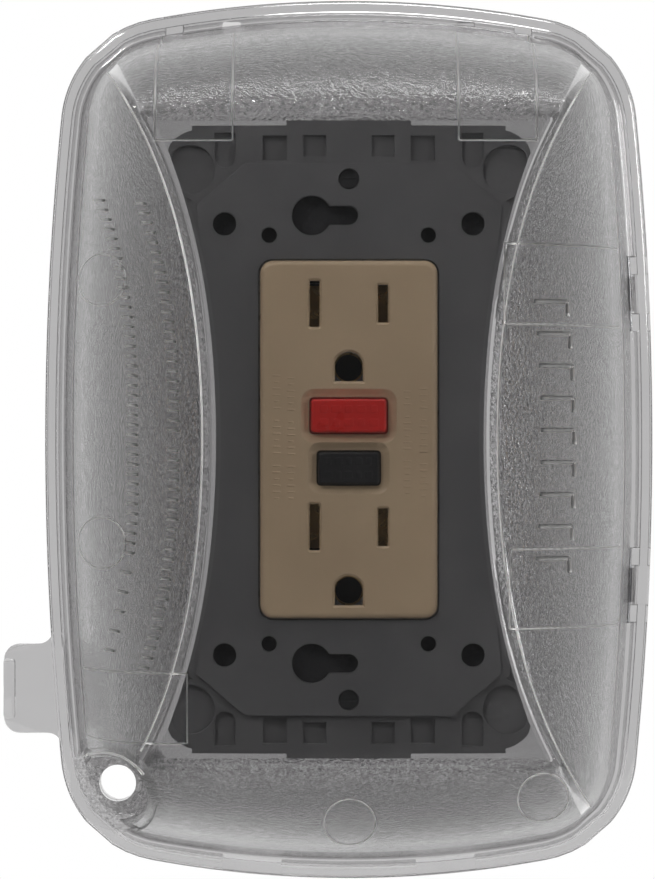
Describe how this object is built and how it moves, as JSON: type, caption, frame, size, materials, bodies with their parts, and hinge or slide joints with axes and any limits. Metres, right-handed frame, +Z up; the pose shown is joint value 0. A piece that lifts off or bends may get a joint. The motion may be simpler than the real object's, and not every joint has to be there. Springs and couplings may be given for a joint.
{
  "type": "gfci outlet",
  "caption": "Duplex ground-fault receptacle with test and reset buttons on a dark mounting plate, inside a clear smoked in-use weather cover with a side-hinged bubble lid.",
  "frame": {"origin": "middle of the receptacle on the wall plane, centred between the two box screws", "axes": "+Z up, +X to the right as seen from the front, +Y into the wall; the front faces -Y"},
  "size_m": [0.1205, 0.113, 0.1626],
  "materials": {
    "smoky_clear": "clear, smoked, lightly stippled",
    "dark_plastic": "moulded matte",
    "ivory_plastic": "moulded satin",
    "red_plastic": "moulded satin",
    "black_plastic": "moulded satin",
    "housing_plastic": "moulded matte",
    "zinc_steel": "zinc plated",
    "brass": "plain",
    "copper_wire": "satin",
    "green_screw": "satin",
    "dark_screw": "satin",
    "foam": "closed cell foam",
    "board": "moulded satin",
    "fibre": "moulded matte"
  },
  "bodies": {
    "root": {"base_frame": "smoky_clear", "wall_gasket": "foam", "mounting_plate": "dark_plastic", "device_gasket": "foam", "hinge_pins": "zinc_steel", "plate_screws": "dark_screw", "face": "ivory_plastic", "reset_spring": "zinc_steel", "test_leaf": "brass", "yoke": "zinc_steel", "ground_contacts": "brass", "ground_screw": "green_screw", "box_screws": "zinc_steel", "screw_retainers": "fibre", "middle_housing": "black_plastic", "neutral_contact": "brass", "hot_contact": "brass", "moving_contacts": "brass", "plunger_spring": "zinc_steel", "solenoid_bobbin": "housing_plastic", "solenoid_coil": "copper_wire", "solenoid_frame": "zinc_steel", "circuit_board": "board", "board_components": "black_plastic", "toroid_case": "black_plastic", "sense_toroid": "copper_wire", "grounding_toroid": "copper_wire", "neutral_terminals": "zinc_steel", "hot_terminals": "brass", "pressure_plates": "zinc_steel", "silver_screws": "zinc_steel", "brass_screws": "brass", "rear_housing": "housing_plastic", "assembly_screws": "zinc_steel"},
    "lid": {"lid": "smoky_clear"},
    "reset": {"reset_button": "red_plastic", "reset_post": "zinc_steel"},
    "test": {"test_button": "black_plastic"},
    "carriage": {"contact_carriage": "black_plastic"},
    "latch": {"latch_plate": "zinc_steel"},
    "plunger": {"solenoid_plunger": "zinc_steel"}
  },
  "joints": [
    {"name": "lid_hinge", "type": "hinge", "parent": "root", "child": "lid", "pos_m": [0.0505, -0.0085, 0], "axis": [0, 0, 1], "range_deg": [0, 100]},
    {"name": "reset_press", "type": "slide", "parent": "root", "child": "reset", "axis": [0, 1, 0], "range_m": [0, 0.002], "stiffness_N_per_m": 400, "deforming": ["reset_spring"]},
    {"name": "test_press", "type": "slide", "parent": "root", "child": "test", "axis": [0, 1, 0], "range_m": [0, 0.0016], "stiffness_N_per_m": 400, "deforming": ["test_leaf"]},
    {"name": "carriage_drop", "type": "slide", "parent": "root", "child": "carriage", "axis": [0, 1, 0], "range_m": [0, 0.0018], "deforming": ["moving_contacts"]},
    {"name": "plunger_push", "type": "slide", "parent": "root", "child": "plunger", "axis": [0, 0, 1], "range_m": [0, 0.0025], "stiffness_N_per_m": 200, "deforming": ["plunger_spring"]},
    {"name": "latch_slide", "type": "slide", "parent": "carriage", "child": "latch", "axis": [0, 0, 1], "range_m": [0, 0.0025]}
  ],
  "couplings": [
    {"joint": "latch_slide", "follows": "plunger_push", "ratio": 1},
    {"joint": "carriage_drop", "follows": "plunger_push", "ratio": 0.72}
  ]
}
